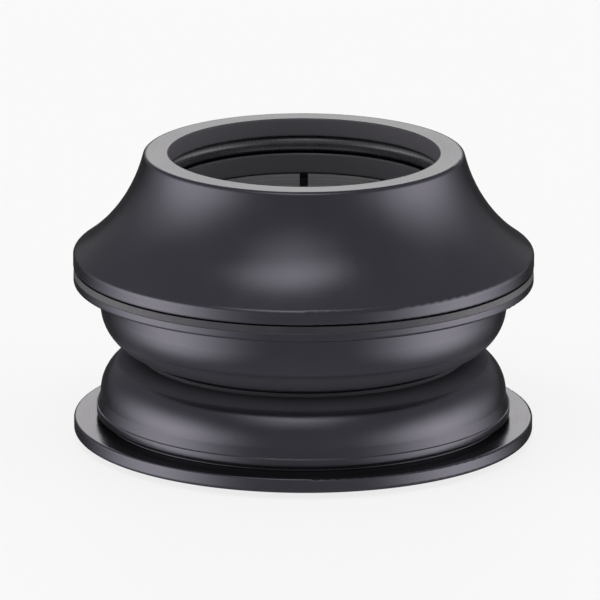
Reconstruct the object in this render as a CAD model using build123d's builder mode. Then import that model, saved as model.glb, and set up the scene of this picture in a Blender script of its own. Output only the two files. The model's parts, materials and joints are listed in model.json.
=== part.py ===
from build123d import *

import os
from math import radians, tan

# A zero-stack threadless bicycle headset, standing as a loose stack: the flared dust cover on the upper
# cup, and the upper cup on the lower cup, which is turned over. Millimetres. The Z axis is the steerer's
# axis, +Z points to the handlebar, and the origin is the middle of the crown race's underside.

# Steerer tube and fork crown
steerer_diameter = 28.6
steerer_clearance = 0.05
crown_seat_step = 0.7

# Cartridge bearings, the same one above and below
bearing_bore_clearance = 0.2
bearing_section = 5.3
bearing_height = 6.5
ball_diameter = 3.175
ball_count = 22
ball_clearance = 0.05
ring_spacing = 1.3
outer_face_land = 0.35
inner_face_land = 0.45
inner_seat_angle = 36.0
bearing_edge_round = 0.25
shield_thickness = 0.45
shield_inset = 0.15
shield_clearance = 0.08
cage_thickness = 1.0
cage_end_gap = 0.25

# Features that the two cups share
bearing_fit = 0.05
cup_wall = 1.03
press_relief = 0.42
flange_ledge = 2.42
flange_round = 0.25
floor_gap = 0.25
lip_height = 0.35
lip_width = 0.9
lip_margin = 1.0
shoulder_wall_margin = 0.1

# Lower cup, with the flange at the bottom
lower_flange_thickness = 1.6
lower_flange_foot_round = 0.4
relief_width = 0.45
relief_depth = 0.25
bead_width = 0.9
bead_step = 0.12
bead_lead = 1.1
bead_round = 0.15
lower_shoulder = 4.15
lower_floor = 1.1

# Upper cup, with the flange at the top
upper_flange_thickness = 0.94
upper_flange_edge_break = 0.08
upper_land_width = 0.35
upper_land_lead = 0.3
upper_shoulder = 4.8
upper_floor = 1.64
collar_wall = 1.6
collar_rise = 0.5

# Rubber seal on the upper flange
cover_seal_height = 0.73
cover_seal_setback = 0.02

# Flared dust cover
rim_gap = 0.16
rim_overhang = 0.03
rim_height = 1.4
rim_round = 0.5
rim_foot_round = 0.12
rim_wall = 1.6
cover_height = 12.21
cover_top_wall = 2.61
cover_top_round = 0.45
cover_bore_round = 0.15
flare_radius = 17.7
sleeve_wall = 1.4
pocket_depth = 3.3
pocket_ceiling = 0.7

# O-ring in the cover's bore
o_ring_section = 1.85
o_ring_proud = 0.02
o_ring_depth = 2.875
o_ring_groove_gap = 0.05
o_ring_groove_break = 0.12

# Split compression ring between the cover and the upper bearing
ring_drop = 6.1
ring_top_gap = 0.1
ring_tip_wall = 0.55
ring_fit = 0.05
ring_taper = 1.2
ring_split = 0.9

# Crown race and its seal
crown_drop = 0.65
race_base_height = 0.9
race_disc_thickness = 0.45
race_mouth_gap = 0.35
race_tip_wall = 0.45
race_bore_chamfer = 0.2
race_seal_width = 1.3
race_seal_height = 0.5
race_seal_lip_gap = 0.15
bearing_float = 0.3

# Radii of the bearings
steerer_bore_radius = steerer_diameter / 2 + steerer_clearance
crown_seat_radius = steerer_diameter / 2 + crown_seat_step
bearing_inner_radius = crown_seat_radius + bearing_bore_clearance
bearing_outer_radius = bearing_inner_radius + bearing_section
ball_pitch_radius = (bearing_inner_radius + bearing_outer_radius) / 2
ball_radius = ball_diameter / 2
groove_radius = ball_radius + ball_clearance
inner_ring_radius = ball_pitch_radius - ring_spacing / 2
outer_ring_radius = ball_pitch_radius + ring_spacing / 2
outer_chamfer = bearing_outer_radius - outer_ring_radius - outer_face_land
inner_chamfer = inner_ring_radius - bearing_inner_radius - inner_face_land
seat_slope = tan(radians(inner_seat_angle))
inner_chamfer_height = inner_chamfer / seat_slope

# Radii of the cups and the cover
cup_bore_radius = bearing_outer_radius + bearing_fit
cup_wall_radius = cup_bore_radius + cup_wall
press_radius = cup_wall_radius + press_relief
flange_radius = press_radius + flange_ledge
seat_inner_radius = bearing_outer_radius - outer_chamfer - floor_gap
collar_radius = cup_bore_radius + collar_wall
rim_radius = flange_radius + rim_overhang

# Heights, from the crown race up
lower_bearing_bottom = race_base_height + bearing_float
lower_bearing_top = lower_bearing_bottom + bearing_height
lower_dome_height = lower_bearing_top + floor_gap + lower_floor
cups_meet_height = lower_dome_height + lip_height
upper_dome_height = cups_meet_height + lip_height
upper_bearing_bottom = upper_dome_height + upper_floor + floor_gap
upper_bearing_top = upper_bearing_bottom + bearing_height
collar_top = upper_bearing_top + collar_rise
upper_flange_top = collar_top - cover_seal_height
upper_flange_bottom = upper_flange_top - upper_flange_thickness
cover_bottom = collar_top + rim_gap
cover_top = cover_bottom + cover_height
ring_top = cover_top - ring_drop


def bearing(seat_plane, outer_name, inner_name, cage_name, balls_name, seat_shield_name, far_shield_name):
    """One cartridge bearing. The plane's origin is the middle of the face beside the outer ring's 45 degree
    seat, its X is the radius, and its Y runs along the axis to the face beside the inner ring's seat."""
    ball_height = bearing_height / 2
    cage_end = shield_inset + shield_thickness + cage_end_gap
    ball_plane = Plane(seat_plane.from_local_coords((0, ball_height)))

    with BuildPart() as outer_ring:
        with BuildSketch(seat_plane):
            with BuildLine():
                Polyline(
                    (outer_ring_radius, 0),
                    (outer_ring_radius + outer_face_land, 0),
                    (bearing_outer_radius, outer_chamfer),
                    (bearing_outer_radius, bearing_height),
                    (outer_ring_radius, bearing_height),
                    close=True,
                )
            make_face()
            fillet(vertices().sort_by_distance((bearing_outer_radius, bearing_height))[0], bearing_edge_round)
            with Locations((ball_pitch_radius, ball_height)):
                Circle(groove_radius, mode=Mode.SUBTRACT)
        revolve(axis=Axis.Z)

    with BuildPart() as inner_ring:
        with BuildSketch(seat_plane):
            with BuildLine():
                Polyline(
                    (bearing_inner_radius, 0),
                    (inner_ring_radius, 0),
                    (inner_ring_radius, bearing_height),
                    (inner_ring_radius - inner_face_land, bearing_height),
                    (bearing_inner_radius, bearing_height - inner_chamfer_height),
                    close=True,
                )
            make_face()
            fillet(vertices().sort_by_distance((bearing_inner_radius, 0))[0], bearing_edge_round)
            with Locations((ball_pitch_radius, ball_height)):
                Circle(groove_radius, mode=Mode.SUBTRACT)
        revolve(axis=Axis.Z)

    with BuildPart() as cage:
        with BuildSketch(seat_plane):
            with Locations((ball_pitch_radius, ball_height)):
                Rectangle(cage_thickness, bearing_height - 2 * cage_end)
        revolve(axis=Axis.Z)
        with Locations(ball_plane):
            with PolarLocations(ball_pitch_radius, ball_count):
                Cylinder(groove_radius, 2 * cage_thickness, rotation=(0, 90, 0), mode=Mode.SUBTRACT)

    with BuildPart() as balls:
        with Locations(ball_plane):
            with PolarLocations(ball_pitch_radius, ball_count):
                Sphere(ball_radius)

    shield_inner_radius = inner_ring_radius + shield_clearance
    shield_width = outer_ring_radius - shield_inner_radius
    shield_middle = shield_inset + shield_thickness / 2

    with BuildPart() as seat_shield:
        with BuildSketch(seat_plane):
            with Locations((shield_inner_radius + shield_width / 2, shield_middle)):
                Rectangle(shield_width, shield_thickness)
        revolve(axis=Axis.Z)

    with BuildPart() as far_shield:
        with BuildSketch(seat_plane):
            with Locations((shield_inner_radius + shield_width / 2, bearing_height - shield_middle)):
                Rectangle(shield_width, shield_thickness)
        revolve(axis=Axis.Z)

    return {
        outer_name: outer_ring,
        inner_name: inner_ring,
        cage_name: cage,
        balls_name: balls,
        seat_shield_name: seat_shield,
        far_shield_name: far_shield,
    }


# Upper bearing: its outer seat faces down into the cup, its inner seat faces up to the compression ring
upper_bearing = bearing(
    Plane(origin=(0, 0, upper_bearing_bottom), x_dir=(1, 0, 0), z_dir=(0, -1, 0)),
    "upper_bearing_outer_ring",
    "upper_bearing_inner_ring",
    "upper_bearing_cage",
    "upper_bearing_balls",
    "upper_bearing_bottom_seal",
    "upper_bearing_top_seal",
)

# Lower bearing: the same turned over, so its inner seat faces down to the crown race
lower_bearing = bearing(
    Plane(origin=(0, 0, lower_bearing_top), x_dir=(1, 0, 0), z_dir=(0, 1, 0)),
    "lower_bearing_outer_ring",
    "lower_bearing_inner_ring",
    "lower_bearing_cage",
    "lower_bearing_balls",
    "lower_bearing_top_seal",
    "lower_bearing_bottom_seal",
)

# Upper cup: domed underside, press land under the flange, and a collar that centres the seal
upper_hole_radius = cup_wall_radius - upper_shoulder - lip_margin
upper_land_bottom = upper_flange_bottom - upper_land_width
upper_floor_height = upper_bearing_bottom - floor_gap

with BuildPart() as upper_cup:
    with BuildSketch(Plane.XZ):
        with BuildLine():
            Polyline(
                (upper_hole_radius, cups_meet_height),
                (upper_hole_radius + lip_width, cups_meet_height),
                (upper_hole_radius + lip_width, upper_dome_height),
                (cup_wall_radius, upper_dome_height),
                (cup_wall_radius, upper_land_bottom - upper_land_lead),
                (press_radius, upper_land_bottom),
                (press_radius, upper_flange_bottom),
                (flange_radius, upper_flange_bottom),
                (flange_radius, upper_flange_top),
                (collar_radius, upper_flange_top),
                (collar_radius, collar_top),
                (cup_bore_radius, collar_top),
                (cup_bore_radius, upper_bearing_bottom + outer_chamfer + bearing_fit),
                (seat_inner_radius, upper_floor_height),
                (upper_hole_radius, upper_floor_height),
                close=True,
            )
        make_face()
        fillet(vertices().sort_by_distance((cup_wall_radius, upper_dome_height))[0], upper_shoulder)
        fillet(vertices().sort_by_distance((flange_radius, upper_flange_bottom))[0], flange_round)
        fillet(vertices().sort_by_distance((flange_radius, upper_flange_top))[0], upper_flange_edge_break)
    revolve(axis=Axis.Z)

# Lower cup: flange at the bottom, relief groove, press bead with a small step to its taper, and domed top
lower_hole_radius = cup_wall_radius - lower_shoulder - lip_margin
lower_flange_top = crown_drop + lower_flange_thickness
bead_bottom = lower_flange_top + relief_width
bead_top = bead_bottom + bead_width
relief_radius = cup_wall_radius - relief_depth
lower_floor_height = lower_bearing_top + floor_gap
lower_wall_height = lower_dome_height - bead_top - bead_lead
lower_dome_round = min(lower_shoulder, lower_wall_height - shoulder_wall_margin)

with BuildPart() as lower_cup:
    with BuildSketch(Plane.XZ):
        with BuildLine():
            Polyline(
                (lower_hole_radius, cups_meet_height),
                (lower_hole_radius + lip_width, cups_meet_height),
                (lower_hole_radius + lip_width, lower_dome_height),
                (cup_wall_radius, lower_dome_height),
                (cup_wall_radius, bead_top + bead_lead),
                (press_radius - bead_step, bead_top),
                (press_radius, bead_top),
                (press_radius, bead_bottom),
                (relief_radius, bead_bottom),
                (relief_radius, lower_flange_top),
                (flange_radius, lower_flange_top),
                (flange_radius, crown_drop),
                (cup_bore_radius, crown_drop),
                (cup_bore_radius, lower_bearing_top - outer_chamfer - bearing_fit),
                (seat_inner_radius, lower_floor_height),
                (lower_hole_radius, lower_floor_height),
                close=True,
            )
        make_face()
        fillet(vertices().sort_by_distance((cup_wall_radius, lower_dome_height))[0], lower_dome_round)
        fillet(vertices().sort_by_distance((flange_radius, lower_flange_top))[0], flange_round)
        fillet(vertices().sort_by_distance((flange_radius, crown_drop))[0], lower_flange_foot_round)
        fillet(vertices().sort_by_distance((press_radius, bead_bottom))[0], bead_round)
    revolve(axis=Axis.Z)

# Cover seal: a flat rubber ring round the upper cup's collar
with BuildPart() as cover_seal:
    with BuildSketch(Plane.XY.offset(upper_flange_top)):
        Circle(flange_radius - cover_seal_setback)
        Circle(collar_radius, mode=Mode.SUBTRACT)
    extrude(amount=cover_seal_height)

# Compression ring: a cone in the bearing's inner seat, a taper under the cover, and one split at the back
ring_cone_radius = bearing_inner_radius + inner_chamfer
ring_tip_radius = steerer_bore_radius + ring_tip_wall
ring_tip = upper_bearing_top - (ring_cone_radius - ring_tip_radius) / seat_slope
ring_top_radius = ring_cone_radius - ring_taper

with BuildPart() as compression_ring:
    with BuildSketch(Plane.XZ):
        with BuildLine():
            Polyline(
                (steerer_bore_radius, ring_tip),
                (ring_tip_radius, ring_tip),
                (ring_cone_radius, upper_bearing_top),
                (ring_cone_radius, ring_top - ring_taper),
                (ring_top_radius, ring_top),
                (steerer_bore_radius, ring_top),
                close=True,
            )
        make_face()
    revolve(axis=Axis.Z)
    with BuildSketch(Plane.XY.offset(ring_tip)):
        Rectangle(ring_split, 2 * ring_cone_radius, align=(Align.CENTER, Align.MIN))
    extrude(amount=ring_top - ring_tip, mode=Mode.SUBTRACT)

# Dust cover: a concave flare from the rim to the top face, bored for the steerer, with an O-ring groove,
# a tapered seat for the compression ring and a relief pocket in the underside
o_ring_height = cover_top - o_ring_depth
o_ring_radius = steerer_bore_radius - o_ring_proud + o_ring_section / 2
groove_half_width = o_ring_section / 2 + o_ring_groove_gap
groove_bottom_radius = o_ring_radius + groove_half_width
cover_top_radius = steerer_bore_radius + cover_top_wall
sleeve_bore_radius = ring_cone_radius + ring_fit
sleeve_radius = sleeve_bore_radius + sleeve_wall
land_bottom = ring_top + ring_top_gap

with BuildPart() as dust_cover:
    with BuildSketch(Plane.XZ):
        with BuildLine():
            Polyline(
                (cover_top_radius, cover_top),
                (steerer_bore_radius, cover_top),
                (steerer_bore_radius, o_ring_height + groove_half_width),
                (groove_bottom_radius, o_ring_height + groove_half_width),
                (groove_bottom_radius, o_ring_height - groove_half_width),
                (steerer_bore_radius, o_ring_height - groove_half_width),
                (steerer_bore_radius, land_bottom),
                (ring_top_radius - ring_top_gap, land_bottom),
                (sleeve_bore_radius, ring_top - ring_taper - ring_fit),
                (sleeve_bore_radius, cover_bottom),
                (sleeve_radius, cover_bottom),
                (sleeve_radius, cover_bottom + pocket_depth),
                (sleeve_radius + pocket_ceiling, cover_bottom + pocket_depth),
                (rim_radius - rim_wall, cover_bottom),
                (rim_radius, cover_bottom),
                (rim_radius, cover_bottom + rim_height),
            )
            RadiusArc(
                (rim_radius, cover_bottom + rim_height),
                (cover_top_radius, cover_top),
                flare_radius,
            )
        make_face()
        fillet(vertices().sort_by_distance((rim_radius, cover_bottom + rim_height))[0], rim_round)
        fillet(vertices().sort_by_distance((rim_radius, cover_bottom))[0], rim_foot_round)
        fillet(vertices().sort_by_distance((cover_top_radius, cover_top))[0], cover_top_round)
        fillet(vertices().sort_by_distance((steerer_bore_radius, cover_top))[0], cover_bore_round)
        chamfer(
            vertices().sort_by_distance((steerer_bore_radius, o_ring_height - groove_half_width))[0],
            o_ring_groove_break,
        )
    revolve(axis=Axis.Z)

# O-ring that seals the cover on the steerer
with BuildPart() as steerer_o_ring:
    with BuildSketch(Plane.XZ):
        with Locations((o_ring_radius, o_ring_height)):
            Circle(o_ring_section / 2)
    revolve(axis=Axis.Z)

# Crown race: pressed on the fork crown, with a cone that carries the lower bearing's inner ring
race_cone_radius = bearing_inner_radius + inner_chamfer
race_base_radius = cup_bore_radius - race_mouth_gap
race_shoulder_radius = race_base_radius - race_seal_width
race_tip_radius = crown_seat_radius + race_tip_wall
race_tip = lower_bearing_bottom + (race_cone_radius - race_tip_radius) / seat_slope

with BuildPart() as crown_race:
    with BuildSketch(Plane.XZ):
        with BuildLine():
            Polyline(
                (crown_seat_radius, 0),
                (race_base_radius, 0),
                (race_base_radius, race_disc_thickness),
                (race_shoulder_radius, race_disc_thickness),
                (race_shoulder_radius, race_base_height),
                (race_cone_radius + bearing_float * seat_slope, race_base_height),
                (race_tip_radius, race_tip),
                (crown_seat_radius, race_tip),
                close=True,
            )
        make_face()
        chamfer(vertices().sort_by_distance((crown_seat_radius, 0))[0], race_bore_chamfer)
    revolve(axis=Axis.Z)

# Crown race seal: a rubber ring on the race's disc that closes the mouth of the lower cup
with BuildPart() as crown_race_seal:
    with BuildSketch(Plane.XY.offset(race_disc_thickness)):
        Circle(cup_bore_radius - race_seal_lip_gap)
        Circle(race_shoulder_radius, mode=Mode.SUBTRACT)
    extrude(amount=race_seal_height)

pieces = {
    "dust_cover": dust_cover,
    "steerer_o_ring": steerer_o_ring,
    "compression_ring": compression_ring,
    "cover_seal": cover_seal,
    "upper_cup": upper_cup,
    "lower_cup": lower_cup,
    "crown_race": crown_race,
    "crown_race_seal": crown_race_seal,
    **upper_bearing,
    **lower_bearing,
}

os.makedirs("parts", exist_ok=True)
for name, piece in pieces.items():
    piece.part.label = name
    export_step(piece.part, f"parts/{name}.step")
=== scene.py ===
"""Looks of a black zero-stack bicycle headset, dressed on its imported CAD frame. Metres, +Z up."""
import json
import math

import bpy
from mathutils import Matrix, Vector


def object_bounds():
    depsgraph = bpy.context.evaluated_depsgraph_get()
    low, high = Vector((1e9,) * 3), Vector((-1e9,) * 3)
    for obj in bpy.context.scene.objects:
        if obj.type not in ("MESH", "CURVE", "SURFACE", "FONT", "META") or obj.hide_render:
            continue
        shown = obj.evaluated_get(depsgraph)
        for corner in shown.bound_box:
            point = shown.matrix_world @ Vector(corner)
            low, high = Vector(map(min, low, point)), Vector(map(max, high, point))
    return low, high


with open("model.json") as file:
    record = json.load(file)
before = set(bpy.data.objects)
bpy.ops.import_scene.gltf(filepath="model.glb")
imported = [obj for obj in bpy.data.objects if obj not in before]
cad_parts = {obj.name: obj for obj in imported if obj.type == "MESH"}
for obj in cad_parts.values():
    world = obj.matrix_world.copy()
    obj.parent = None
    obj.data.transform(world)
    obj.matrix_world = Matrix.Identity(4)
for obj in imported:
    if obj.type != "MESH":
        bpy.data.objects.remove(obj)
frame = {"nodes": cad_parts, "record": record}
cad_low, cad_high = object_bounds()

# Camera: a long lens at the photograph's angle; angles in degrees, lens and sensor in millimetres
CAMERA_PLACE = (-0.000374, -0.850, 0.2505)
CAMERA_PITCH = 15.5
CAMERA_ROLL = 0.16
CAMERA_LENS = 498.4
SENSOR_WIDTH = 36.0

# Floor and surround: lengths in metres, and light levels where 1 is white.
# The floor lies a hair below the object's underside, so that the two faces don't coincide.
FLOOR_SIZE = 8.0
FLOOR_DROP = 0.00002
FLOOR_COLOUR = (0.90, 0.905, 0.93)
FLOOR_ROUGHNESS = 0.9
BACKDROP_SEEN = 0.95
BACKDROP_SHARE = 0.84
SURROUND_LIGHT = 0.50

# Soft boxes and dark flags: angles in degrees, sizes as sines of the half angles seen from the object.
# A box's strength is its light level, and a flag's is the share of the surround that it takes away.
BOX_COLOUR = (1.0, 0.99, 0.93)
SIDE_BOX_TURNS = (-81, 85)
SIDE_BOX = {"elevation": -6, "half_width": 0.90, "half_height": 0.72, "strength": 6.3}
TOP_BOX = {"turn": -14, "elevation": 69.5, "half_width": 0.55, "half_height": 0.27, "strength": 4.0}
FRONT_BOX = {"turn": -8, "elevation": 54, "half_width": 0.52, "half_height": 0.40, "strength": 1.8}
BACK_BOX = {"turn": 180, "elevation": 22, "half_width": 0.42, "half_height": 0.25, "strength": 9.0}
BACK_FLAG = {"turn": 180, "elevation": -16, "half_width": 1.00, "half_height": 0.54, "strength": 2.0}
CAMERA_FLAG = {"turn": 0, "elevation": 30, "half_width": 1.50, "half_height": 1.50, "strength": 0.28}
FLAG_DARKEST = 0.93

# Finishes: colours are linear, lengths are metres, and a noise's scale is in features a metre
NOISE_RANGE = (0.3, 0.7)
WHOLE_RANGE = (0, 1)
ROUGHNESS_SPREAD = 0.08

# Satin black anodising
BLACK_ANODISED = (0.0410, 0.0394, 0.0488)
BLACK_ANODISED_DEEP = (0.0372, 0.0358, 0.0444)
BLACK_ANODISED_EDGE_WEAR_AND_HIGHLIGHT = (0.110, 0.108, 0.118)
ANODISED_METALLIC = 0.85
ANODISED_EDGE_TINT = (0.55, 0.55, 0.55)
ANODISED_ROUGHNESS = (0.19, 0.25)
ANODISED_CLOUD_ROUGHNESS = (-0.025, 0.025)
ANODISED_RINGS = {"pitch": 0.00022, "detail": 3}
ANODISED_CLOUDS = {"scale": 170, "detail": 4}
ANODISED_GRAIN = {"scale": 9000, "detail": 2}
ANODISED_PATCHES = {"scale": 350, "detail": 3}
ANODISED_RING_RELIEF = 0.6
ANODISED_DEPTH = 1.5e-6

# Edges of the anodised pieces: softened over a width, and paler where the normal turns, partly as wear and
# partly as a painted highlight along the edges
COVER_EDGE_WIDTH = 0.00025
CUP_EDGE_WIDTH = 0.00016
EDGE_SAMPLES = 8
EDGE_COSINES = (0.85, 0.995)
EDGE_WEAR_AND_HIGHLIGHT_SHARE = (0.15, 0.40)

# Matt anodising: in bores, and on the cups' domed ends, which begin an inset within the press land's radius.
# The bores also take a paler colour, which is painted light that lifts the shade inside them
MATT_BORE_PAINTED_LIGHT = (0.077, 0.074, 0.086)
MATT_ROUGHNESS = 0.5
BORE_COSINES = (-0.9, -0.4)
CUP_ENDS = {
    "upper_cup": {"land": "upper_press_land", "inset": 0.0007},
    "lower_cup": {"land": "lower_press_land", "inset": 0.0017},
}
MATT_FADE = 0.0008
MILLIMETRE = 0.001

# Bare metals, by their slot in the record
METALS = {
    "bare_aluminium": {
        "name": "turned_aluminium",
        "colour": (0.35, 0.35, 0.365),
        "deep_colour": (0.24, 0.24, 0.25),
        "roughness": 0.42,
        "pitch": 0.00018,
        "depth": 4e-6,
    },
    "bearing_steel": {
        "name": "ground_steel",
        "colour": (0.52, 0.52, 0.53),
        "deep_colour": (0.44, 0.44, 0.45),
        "roughness": 0.24,
        "pitch": 0.00006,
        "depth": 1e-6,
    },
    "ball_steel": {
        "name": "polished_steel",
        "colour": (0.62, 0.62, 0.63),
        "deep_colour": (0.58, 0.58, 0.59),
        "roughness": 0.12,
        "pitch": 0.00030,
        "depth": 2e-7,
    },
    "race_steel": {
        "name": "blackened_steel",
        "colour": (0.13, 0.13, 0.14),
        "deep_colour": (0.09, 0.09, 0.10),
        "roughness": 0.36,
        "pitch": 0.00012,
        "depth": 2e-6,
    },
}
METAL_RING_DETAIL = 4
METAL_RING_SHARE = 0.7
METAL_CLOUDS = {"scale": 260, "detail": 3}

# Rubber of the seals and, glossier, of the O-ring
SEAL_RUBBER = {
    "name": "matt_rubber",
    "colour": (0.0105, 0.0100, 0.0120),
    "dusty_colour": (0.0160, 0.0155, 0.0180),
    "roughness": 0.50,
    "ior": 1.38,
    "depth": 6e-6,
}
O_RING_RUBBER = {
    "name": "oiled_rubber",
    "colour": (0.030, 0.029, 0.034),
    "dusty_colour": (0.038, 0.037, 0.042),
    "roughness": 0.28,
    "ior": 1.45,
    "depth": 2e-6,
}
RUBBER_GLOSS_TINT = (0.90, 0.87, 1.0)
RUBBER_GRAIN = {"scale": 7000, "detail": 3}
RUBBER_DUST = {"scale": 450, "detail": 4}
DUST_RANGE = (0.4, 0.75)

# Nylon of the ball cages
NYLON = (0.60, 0.58, 0.52)
NYLON_DEEP = (0.50, 0.48, 0.42)
NYLON_ROUGHNESS = (0.38, 0.52)
NYLON_GRAIN = {"scale": 5000, "detail": 3}
NYLON_CLOUDS = {"scale": 300, "detail": 3}
NYLON_DEPTH = 5e-6


def new_material(name):
    """A material with one Principled shader; returns (material, tree, shader)."""
    material = bpy.data.materials.new(name)
    material.use_nodes = True
    tree = material.node_tree
    return material, tree, tree.nodes["Principled BSDF"]


def link_or_set(tree, socket, value):
    """Puts a number, a colour or another node's output on a socket."""
    if isinstance(value, bpy.types.NodeSocket):
        tree.links.new(value, socket)
    else:
        socket.default_value = value


def calc(tree, operation, first, second=0.0, third=0.0):
    """One Math node; each input is a number or an output."""
    node = tree.nodes.new("ShaderNodeMath")
    node.operation = operation
    for socket, value in zip(node.inputs, (first, second, third)):
        link_or_set(tree, socket, value)
    return node.outputs[0]


def vector_calc(tree, operation, first, second=(0.0, 0.0, 0.0)):
    """One Vector Math node; returns the node."""
    node = tree.nodes.new("ShaderNodeVectorMath")
    node.operation = operation
    link_or_set(tree, node.inputs[0], first)
    link_or_set(tree, node.inputs[1], second)
    return node


def dot(tree, first, second):
    """The scalar product of two vectors."""
    return vector_calc(tree, "DOT_PRODUCT", first, second).outputs["Value"]


def spread(tree, value, low, high, within=NOISE_RANGE, interpolation="LINEAR"):
    """Maps a value within a range to low ... high; outside the range it stays at the nearer end."""
    node = tree.nodes.new("ShaderNodeMapRange")
    node.interpolation_type = interpolation
    for name, number in zip(("From Min", "From Max", "To Min", "To Max"), (*within, low, high)):
        node.inputs[name].default_value = number
    tree.links.new(value, node.inputs["Value"])
    return node.outputs["Result"]


def blend_colours(tree, share, first, second):
    """A colour between two, by a share from 0 to 1."""
    node = tree.nodes.new("ShaderNodeMix")
    node.data_type = "RGBA"
    tree.links.new(share, node.inputs["Factor"])
    for socket, colour in ((node.inputs["A"], first), (node.inputs["B"], second)):
        link_or_set(tree, socket, colour if isinstance(colour, bpy.types.NodeSocket) else (*colour, 1))
    return node.outputs["Result"]


def place_on_piece(tree):
    """Coordinates in the part's own frame, in metres, which turn with the piece."""
    return tree.nodes.new("ShaderNodeTexCoord").outputs["Object"]


def away_from_axis(tree):
    """Vector from the steerer axis straight out to a point."""
    return vector_calc(tree, "MULTIPLY", place_on_piece(tree), (1, 1, 0)).outputs["Vector"]


def radius_from_axis(tree):
    """Distance of a point from the steerer axis."""
    return vector_calc(tree, "LENGTH", away_from_axis(tree)).outputs["Value"]


def place_on_lathe(tree, pitch):
    """(radius, height) of a point in turning pitches, so that a texture runs in rings about the axis."""
    split = tree.nodes.new("ShaderNodeSeparateXYZ")
    tree.links.new(place_on_piece(tree), split.inputs[0])
    joined = tree.nodes.new("ShaderNodeCombineXYZ")
    tree.links.new(calc(tree, "DIVIDE", radius_from_axis(tree), pitch), joined.inputs["X"])
    tree.links.new(calc(tree, "DIVIDE", split.outputs["Z"], pitch), joined.inputs["Y"])
    return joined.outputs[0]


def noise(tree, place, scale, detail):
    """A noise texture's value; scale counts its features in a unit of place."""
    node = tree.nodes.new("ShaderNodeTexNoise")
    node.inputs["Scale"].default_value = scale
    node.inputs["Detail"].default_value = detail
    tree.links.new(place, node.inputs["Vector"])
    return node.outputs["Fac"]


def turning_rings(tree, pitch, detail):
    """Noise in rings about the axis, as a turning tool leaves them, one a pitch."""
    return noise(tree, place_on_lathe(tree, pitch), 1, detail)


def softened_normal(tree, width):
    """The surface's normal with edges rounded by that width."""
    bevel = tree.nodes.new("ShaderNodeBevel")
    bevel.samples = EDGE_SAMPLES
    bevel.inputs["Radius"].default_value = width
    return bevel.outputs[0]


def edge_share(tree, softened):
    """1 on edges and 0 on open faces: how far the softened normal turns from the plain one."""
    normal = tree.nodes.new("ShaderNodeNewGeometry").outputs["Normal"]
    return spread(tree, dot(tree, softened, normal), 1, 0, EDGE_COSINES)


def bore_share(tree):
    """1 on faces that look to the axis, such as a bore, and 0 on faces that look up, down or outwards."""
    normal = tree.nodes.new("ShaderNodeTexCoord").outputs["Normal"]
    outward = vector_calc(tree, "NORMALIZE", away_from_axis(tree)).outputs["Vector"]
    return spread(tree, dot(tree, outward, normal), 1, 0, BORE_COSINES)


def end_share(tree, matt_radius):
    """1 near the axis, fading to 0 at that radius."""
    fade = (matt_radius - MATT_FADE, matt_radius)
    return spread(tree, radius_from_axis(tree), 1, 0, fade, "SMOOTHSTEP")


def relief(tree, shader, height, depth, softened=None):
    """Bump of that depth from a height between 0 and 1, on the plain or a softened normal."""
    bump = tree.nodes.new("ShaderNodeBump")
    bump.inputs["Distance"].default_value = depth
    tree.links.new(height, bump.inputs["Height"])
    if softened is not None:
        tree.links.new(softened, bump.inputs["Normal"])
    tree.links.new(bump.outputs[0], shader.inputs["Normal"])


def black_anodised(name, edge_width, matt_radius=0.0):
    """Satin black anodising on turned aluminium: cloudy black with faint turning rings, and edges a little
    paler, partly as wear and partly as a painted highlight. It is matt in bores, whose paler colour is
    painted light, and within matt_radius of the axis."""
    material, tree, shader = new_material(name)
    place = place_on_piece(tree)
    rings = turning_rings(tree, **ANODISED_RINGS)
    clouds = noise(tree, place, **ANODISED_CLOUDS)
    grain = noise(tree, place, **ANODISED_GRAIN)
    patchy = noise(tree, place, **ANODISED_PATCHES)
    softened = softened_normal(tree, edge_width)
    edge_wear_and_highlight = calc(tree, "MULTIPLY", edge_share(tree, softened), spread(tree, patchy, *EDGE_WEAR_AND_HIGHLIGHT_SHARE))
    bore = bore_share(tree)
    matt = calc(tree, "MAXIMUM", bore, end_share(tree, matt_radius))

    black = blend_colours(tree, spread(tree, clouds, 0, 1), BLACK_ANODISED_DEEP, BLACK_ANODISED)
    # Edges turn paler: partly wear, partly a painted highlight along them
    black = blend_colours(tree, edge_wear_and_highlight, black, BLACK_ANODISED_EDGE_WEAR_AND_HIGHLIGHT)
    # Bores take a paler colour: painted light that lifts the shade inside them
    tree.links.new(blend_colours(tree, bore, black, MATT_BORE_PAINTED_LIGHT), shader.inputs["Base Color"])
    metallic = spread(tree, matt, ANODISED_METALLIC, 0, WHOLE_RANGE)
    tree.links.new(metallic, shader.inputs["Metallic"])
    satin = calc(
        tree, "ADD", spread(tree, rings, *ANODISED_ROUGHNESS), spread(tree, clouds, *ANODISED_CLOUD_ROUGHNESS)
    )
    rough = calc(tree, "MAXIMUM", satin, calc(tree, "MULTIPLY", matt, MATT_ROUGHNESS))
    tree.links.new(rough, shader.inputs["Roughness"])
    shader.inputs["Specular IOR Level"].default_value = 0.0
    shader.inputs["Specular Tint"].default_value = (*ANODISED_EDGE_TINT, 1)
    fine = calc(tree, "MULTIPLY", grain, 1 - ANODISED_RING_RELIEF)
    height = calc(tree, "MULTIPLY_ADD", rings, ANODISED_RING_RELIEF, fine)
    relief(tree, shader, height, ANODISED_DEPTH, softened)
    return material


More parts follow.
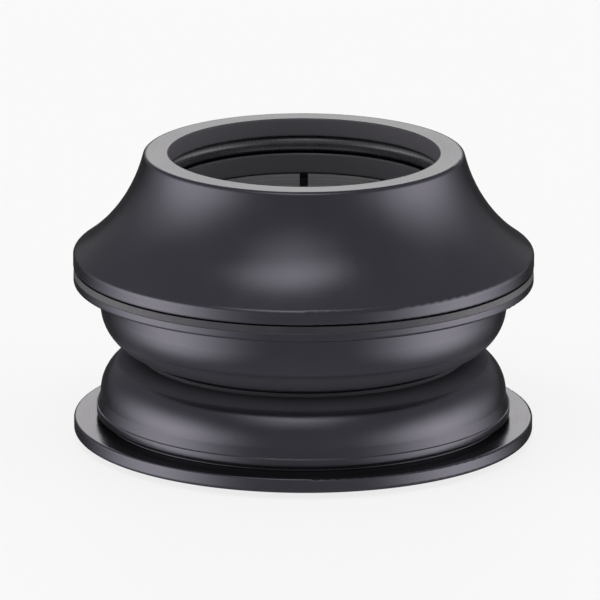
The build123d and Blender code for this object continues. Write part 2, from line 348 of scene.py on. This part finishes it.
def turned_metal(name, colour, deep_colour, roughness, pitch, depth):
    """Bare turned or ground metal with rings about the axis."""
    material, tree, shader = new_material(name)
    rings = turning_rings(tree, pitch, METAL_RING_DETAIL)
    clouds = noise(tree, place_on_piece(tree), **METAL_CLOUDS)
    ring_share = spread(tree, rings, 0, METAL_RING_SHARE)
    share = calc(tree, "ADD", ring_share, spread(tree, clouds, 0, 1 - METAL_RING_SHARE))
    tree.links.new(blend_colours(tree, share, deep_colour, colour), shader.inputs["Base Color"])
    rough = spread(tree, rings, roughness - ROUGHNESS_SPREAD, roughness + ROUGHNESS_SPREAD)
    tree.links.new(rough, shader.inputs["Roughness"])
    shader.inputs["Metallic"].default_value = 1.0
    relief(tree, shader, rings, depth)
    return material


def moulded_rubber(name, colour, dusty_colour, roughness, ior, depth):
    """Black rubber with a moulded grain of that depth and a little dust."""
    material, tree, shader = new_material(name)
    place = place_on_piece(tree)
    grain = noise(tree, place, **RUBBER_GRAIN)
    dust = spread(tree, noise(tree, place, **RUBBER_DUST), 0, 1, DUST_RANGE)
    tree.links.new(blend_colours(tree, dust, colour, dusty_colour), shader.inputs["Base Color"])
    rough = spread(tree, grain, roughness - ROUGHNESS_SPREAD, roughness + ROUGHNESS_SPREAD)
    tree.links.new(rough, shader.inputs["Roughness"])
    shader.inputs["IOR"].default_value = ior
    shader.inputs["Specular Tint"].default_value = (*RUBBER_GLOSS_TINT, 1)
    relief(tree, shader, grain, depth)
    return material


def moulded_nylon(name):
    """Pale cloudy nylon with a fine moulded grain."""
    material, tree, shader = new_material(name)
    place = place_on_piece(tree)
    grain = noise(tree, place, **NYLON_GRAIN)
    clouds = spread(tree, noise(tree, place, **NYLON_CLOUDS), 0, 1)
    tree.links.new(blend_colours(tree, clouds, NYLON_DEEP, NYLON), shader.inputs["Base Color"])
    tree.links.new(spread(tree, grain, *NYLON_ROUGHNESS), shader.inputs["Roughness"])
    relief(tree, shader, grain, NYLON_DEPTH)
    return material


def land_radius(name):
    """Radius of a press land, from the record's mounts, in metres."""
    mounts = {mount["name"]: mount for mount in frame["record"]["mounts"]}
    return mounts[name]["dims"]["r_mm"] * MILLIMETRE


def dress_nodes():
    """Gives every CAD node the finish of its slot in the record; the cups and the O-ring have their own."""
    by_slot = {slot: turned_metal(**metal) for slot, metal in METALS.items()}
    by_slot["anodised_black"] = black_anodised("black_anodised_cover", COVER_EDGE_WIDTH)
    by_slot["cage_nylon"] = moulded_nylon("moulded_nylon")
    by_slot["seal_rubber"] = moulded_rubber(**SEAL_RUBBER)
    by_node = {"steerer_o_ring": moulded_rubber(**O_RING_RUBBER)}
    for cup, end in CUP_ENDS.items():
        matt_radius = land_radius(end["land"]) - end["inset"]
        by_node[cup] = black_anodised("black_anodised_" + cup, CUP_EDGE_WIDTH, matt_radius)
    for subpart in frame["record"]["subparts"]:
        name = subpart["node"]
        finish = by_node.get(name, by_slot[subpart["material_slot"]])
        frame["nodes"][name].material_slots[0].material = finish


def direction(turn, elevation):
    """Unit vector from the object: turn is degrees round from the camera's side, to the right; then up."""
    turn, elevation = math.radians(turn), math.radians(elevation)
    return Vector((
        math.sin(turn) * math.cos(elevation),
        -math.cos(turn) * math.cos(elevation),
        math.sin(elevation),
    ))


def soft_box(tree, looking, turn, elevation, half_width, half_height, strength):
    """A soft patch of the surround: of that strength in its middle, fading to 0 at its edge."""
    middle = direction(turn, elevation)
    across = middle.cross(Vector((0, 0, 1))).normalized()
    upward = across.cross(middle)
    off_centre = [
        calc(tree, "POWER", dot(tree, looking, axis / half), 2)
        for axis, half in ((across, half_width), (upward, half_height))
    ]
    fade = calc(tree, "MAXIMUM", calc(tree, "SUBTRACT", 1, calc(tree, "ADD", *off_centre)), 0)
    in_front = calc(tree, "GREATER_THAN", dot(tree, looking, middle), 0)
    shape = calc(tree, "MULTIPLY", calc(tree, "POWER", fade, 2), in_front)
    return calc(tree, "MULTIPLY", shape, strength)


def shows_backdrop(tree):
    """1 for the rays that show the backdrop: from the camera, in a reflection or through glass; else 0."""
    path = tree.nodes.new("ShaderNodeLightPath")
    shown = calc(tree, "MAXIMUM", path.outputs["Is Camera Ray"], path.outputs["Is Glossy Ray"])
    return calc(tree, "MAXIMUM", shown, path.outputs["Is Transmission Ray"])


def make_studio():
    """Pale surround, plain for the camera. Soft boxes light the object and show in its gloss, and dark flags
    behind it and round the camera keep its outline and its front black."""
    world = bpy.data.worlds.new("studio")
    bpy.context.scene.world = world
    world.use_nodes = True
    tree = world.node_tree
    looking = tree.nodes.new("ShaderNodeTexCoord").outputs["Generated"]
    camera_ray = tree.nodes.new("ShaderNodeLightPath").outputs["Is Camera Ray"]
    unseen = calc(tree, "SUBTRACT", 1, camera_ray)

    boxes = [soft_box(tree, looking, turn=turn, **SIDE_BOX) for turn in SIDE_BOX_TURNS]
    boxes += [soft_box(tree, looking, **box) for box in (TOP_BOX, FRONT_BOX, BACK_BOX)]
    light = boxes[0]
    for box in boxes[1:]:
        light = calc(tree, "ADD", light, box)
    lamps = tree.nodes.new("ShaderNodeBackground")
    lamps.inputs["Color"].default_value = (*BOX_COLOUR, 1)
    tree.links.new(calc(tree, "MULTIPLY", light, unseen), lamps.inputs["Strength"])

    flags = calc(tree, "ADD", soft_box(tree, looking, **BACK_FLAG), soft_box(tree, looking, **CAMERA_FLAG))
    shade = calc(tree, "MINIMUM", flags, FLAG_DARKEST)
    open_share = calc(tree, "SUBTRACT", 1, calc(tree, "MULTIPLY", shade, unseen))
    surround = spread(tree, shows_backdrop(tree), SURROUND_LIGHT, BACKDROP_SEEN, WHOLE_RANGE)
    backdrop = tree.nodes["Background"]
    backdrop.inputs["Color"].default_value = (1, 1, 1, 1)
    tree.links.new(calc(tree, "MULTIPLY", surround, open_share), backdrop.inputs["Strength"])

    both = tree.nodes.new("ShaderNodeAddShader")
    tree.links.new(backdrop.outputs[0], both.inputs[0])
    tree.links.new(lamps.outputs[0], both.inputs[1])
    tree.links.new(both.outputs[0], tree.nodes["World Output"].inputs["Surface"])


def make_floor():
    """A plain pale floor under the object: part backdrop white, part matt paint that takes the shadow."""
    bpy.ops.mesh.primitive_plane_add(size=FLOOR_SIZE, location=(0, 0, cad_low.z - FLOOR_DROP))
    floor = bpy.context.object
    floor.name = "floor"
    material, tree, shader = new_material("pale_floor")
    shader.inputs["Base Color"].default_value = (*FLOOR_COLOUR, 1)
    shader.inputs["Roughness"].default_value = FLOOR_ROUGHNESS
    shader.inputs["Specular IOR Level"].default_value = 0.0
    backdrop = tree.nodes.new("ShaderNodeEmission")
    backdrop.inputs["Strength"].default_value = BACKDROP_SEEN
    mix = tree.nodes.new("ShaderNodeMixShader")
    tree.links.new(calc(tree, "MULTIPLY", shows_backdrop(tree), BACKDROP_SHARE), mix.inputs["Fac"])
    tree.links.new(shader.outputs[0], mix.inputs[1])
    tree.links.new(backdrop.outputs[0], mix.inputs[2])
    tree.links.new(mix.outputs[0], tree.nodes["Material Output"].inputs["Surface"])
    floor.data.materials.append(material)
    floor.visible_glossy = False
    floor.visible_shadow = False


def make_camera():
    """The photograph's view: in front, a little above, with a long lens."""
    camera = bpy.data.objects.new("camera", bpy.data.cameras.new("camera"))
    bpy.context.scene.collection.objects.link(camera)
    camera.data.lens = CAMERA_LENS
    camera.data.sensor_width = SENSOR_WIDTH
    tilt = Matrix.Rotation(math.radians(90 - CAMERA_PITCH), 4, "X")
    roll = Matrix.Rotation(math.radians(CAMERA_ROLL), 4, "Z")
    camera.matrix_world = Matrix.Translation(CAMERA_PLACE) @ tilt @ roll
    bpy.context.scene.camera = camera


dress_nodes()
make_studio()
make_floor()
make_camera()
bpy.context.scene.view_settings.view_transform = "Standard"
